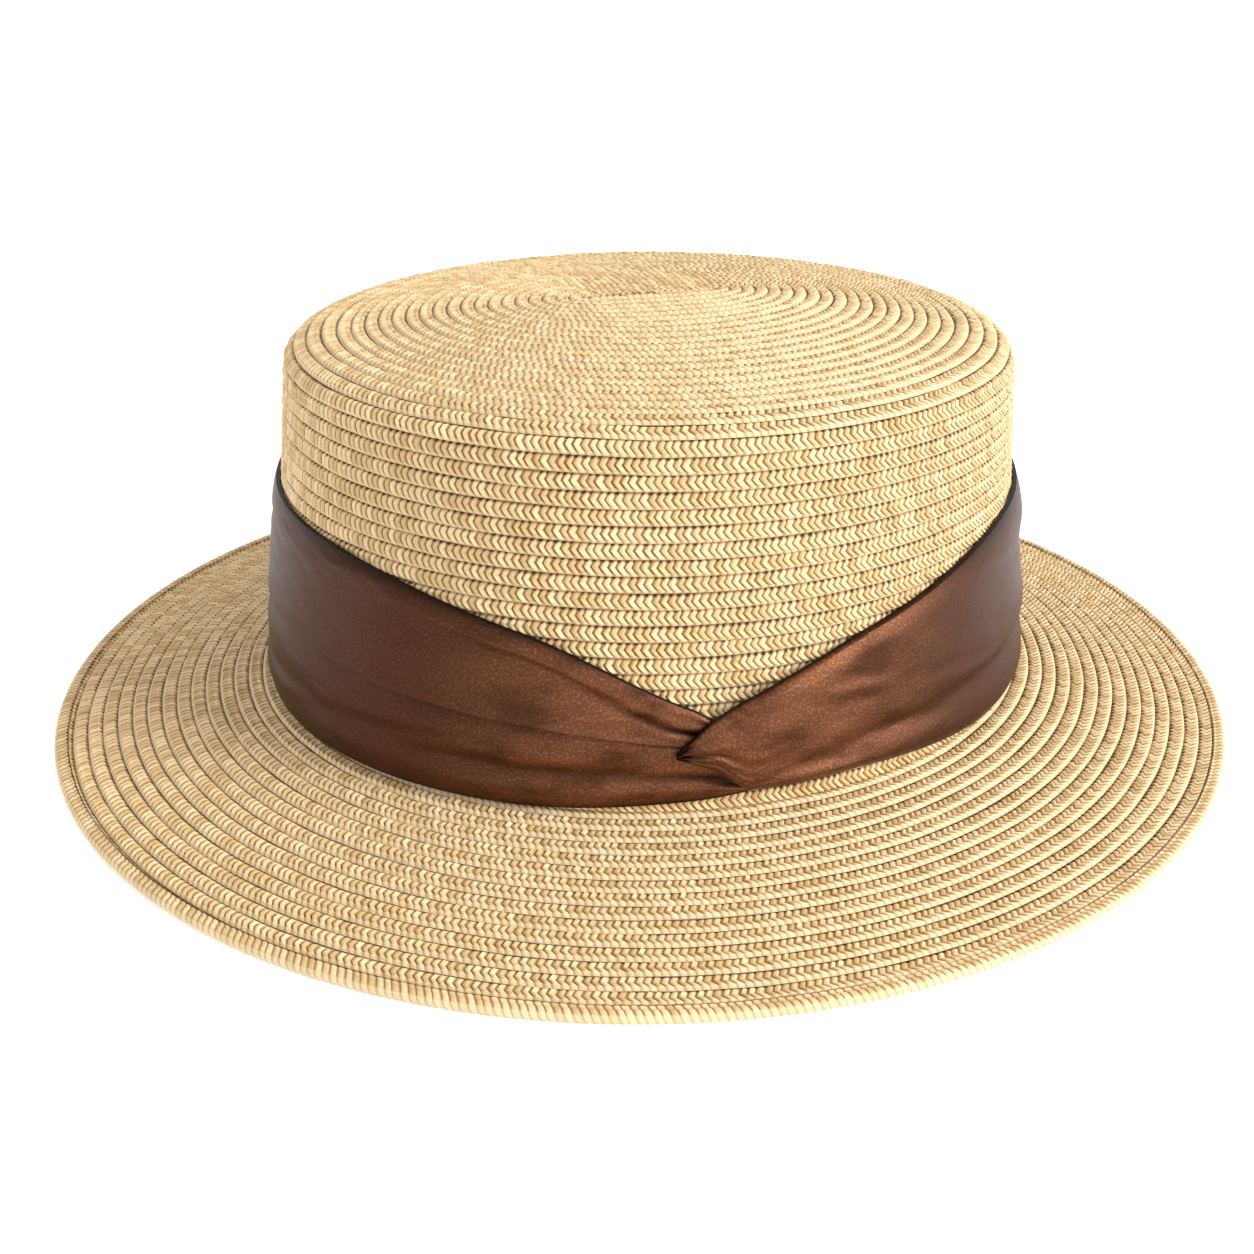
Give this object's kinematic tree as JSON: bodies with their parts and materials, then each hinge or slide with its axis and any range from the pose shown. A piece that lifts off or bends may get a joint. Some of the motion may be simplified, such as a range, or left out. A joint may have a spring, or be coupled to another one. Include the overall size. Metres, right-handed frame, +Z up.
{
  "type": "boater hat",
  "caption": "Flat-topped boater hat of sewn straw braid with a sloping round brim and a pleated ribbon band that crosses on one side.",
  "frame": {"origin": "on the surface the hat rests on, under the middle of the brim's oval", "axes": "+Z up, +X along the oval's long axis towards the back of the head, -Y the wearer's left, where the ribbon crosses"},
  "size_m": [0.2976, 0.2796, 0.1001],
  "materials": {
    "straw": "natural paper-straw braid, matt with a faint sheen on the strands",
    "ribbon": "dark brown crepe-backed satin"
  },
  "bodies": {
    "root": {"crown": "straw", "brim": "straw", "band_left": "ribbon", "band_right": "ribbon"}
  },
  "joints": []
}
